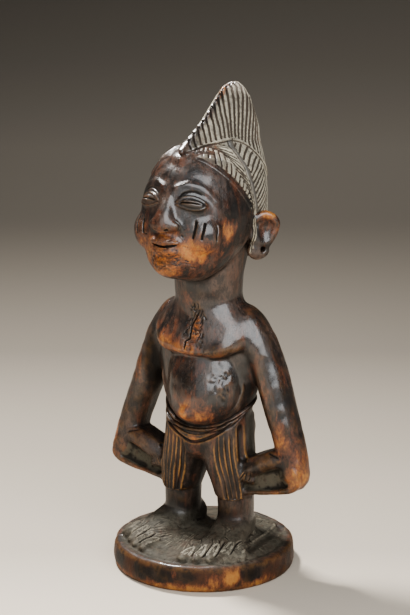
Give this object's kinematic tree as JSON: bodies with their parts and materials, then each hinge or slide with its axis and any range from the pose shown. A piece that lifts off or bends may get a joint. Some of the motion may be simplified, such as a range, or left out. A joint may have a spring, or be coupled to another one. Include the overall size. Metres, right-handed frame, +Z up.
{
  "type": "ibeji figure",
  "caption": "Carved wooden twin figure standing on a round base, with a ribbed crest of hair and its hands on its hips.",
  "frame": {"origin": "centre of the round base's underside", "axes": "+Z up to the tip of the crest, the figure faces -Y, +X to the figure's left"},
  "size_m": [0.1188, 0.097, 0.255],
  "materials": {
    "carved_wood": "satin"
  },
  "bodies": {
    "root": {"ibeji_figure": "carved_wood"}
  },
  "joints": []
}
